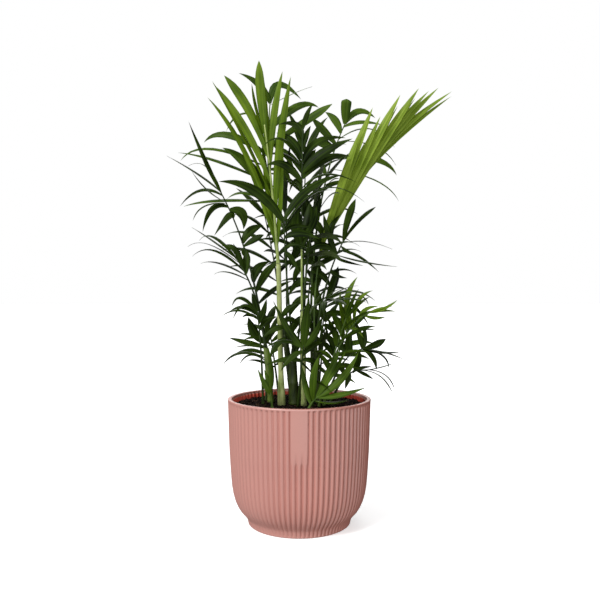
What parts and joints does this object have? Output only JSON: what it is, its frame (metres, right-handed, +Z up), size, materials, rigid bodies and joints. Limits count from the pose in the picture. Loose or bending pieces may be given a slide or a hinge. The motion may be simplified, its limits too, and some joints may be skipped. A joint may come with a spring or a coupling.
{
  "type": "potted parlour palm",
  "caption": "Clump of slender upright palm canes with feathered fronds, standing in a round fluted pot filled to the rim with potting mix.",
  "frame": {"origin": "middle of the pot's flat underside, on the surface that it stands on", "axes": "+Z up along the pot's axis, -Y towards the side of the pot with the plain band"},
  "size_m": [0.284, 0.1849, 0.443],
  "materials": {
    "pot": "matt moulded plastic, dusty pink",
    "potting_mix": "crumbly, dark brown",
    "cane_pale": "smooth, pale green",
    "cane_sheathed": "fibrous sheath, dark green",
    "cane_green": "smooth, mid green",
    "leaf_young": "satin, yellow-green",
    "leaf_mid": "satin, mid green",
    "leaf_dark": "satin, dark green"
  },
  "bodies": {
    "root": {"pot": "pot", "soil": "potting_mix", "stem_pale_cane": "cane_pale", "stem_sheathed_cane": "cane_sheathed", "stem_left_cane": "cane_green", "stem_centre_cane": "cane_pale", "stem_right_cane": "cane_sheathed", "stem_near_right_cane": "cane_sheathed", "stem_far_left_cane": "cane_sheathed", "stem_far_right_cane": "cane_sheathed", "frond_tall_light": "leaf_young", "frond_right_fan": "leaf_young", "frond_left_arch": "leaf_dark", "frond_left_comb": "leaf_dark", "frond_back_tall": "leaf_mid", "frond_centre": "leaf_dark", "frond_front_vee": "leaf_dark", "frond_right_tall": "leaf_mid", "frond_right_mid": "leaf_dark", "frond_right_young": "leaf_young", "frond_right_low": "leaf_dark", "frond_right_droop": "leaf_dark", "frond_front_young": "leaf_mid", "frond_left_shoot": "leaf_mid", "frond_left_low": "leaf_dark", "frond_left_low_far": "leaf_dark", "frond_front_left": "leaf_dark", "frond_front_mid": "leaf_dark", "frond_front_right": "leaf_dark", "frond_right_arc": "leaf_dark", "frond_mid_low": "leaf_dark", "frond_low_mid": "leaf_dark", "frond_low_right": "leaf_mid", "frond_back_left": "leaf_dark", "frond_back_mid": "leaf_dark", "frond_back_right": "leaf_dark", "frond_top_mid": "leaf_dark", "frond_side_left": "leaf_dark", "frond_side_right": "leaf_dark", "frond_side_low": "leaf_mid", "frond_back_low_left": "leaf_dark", "frond_back_low_right": "leaf_dark"}
  },
  "joints": []
}
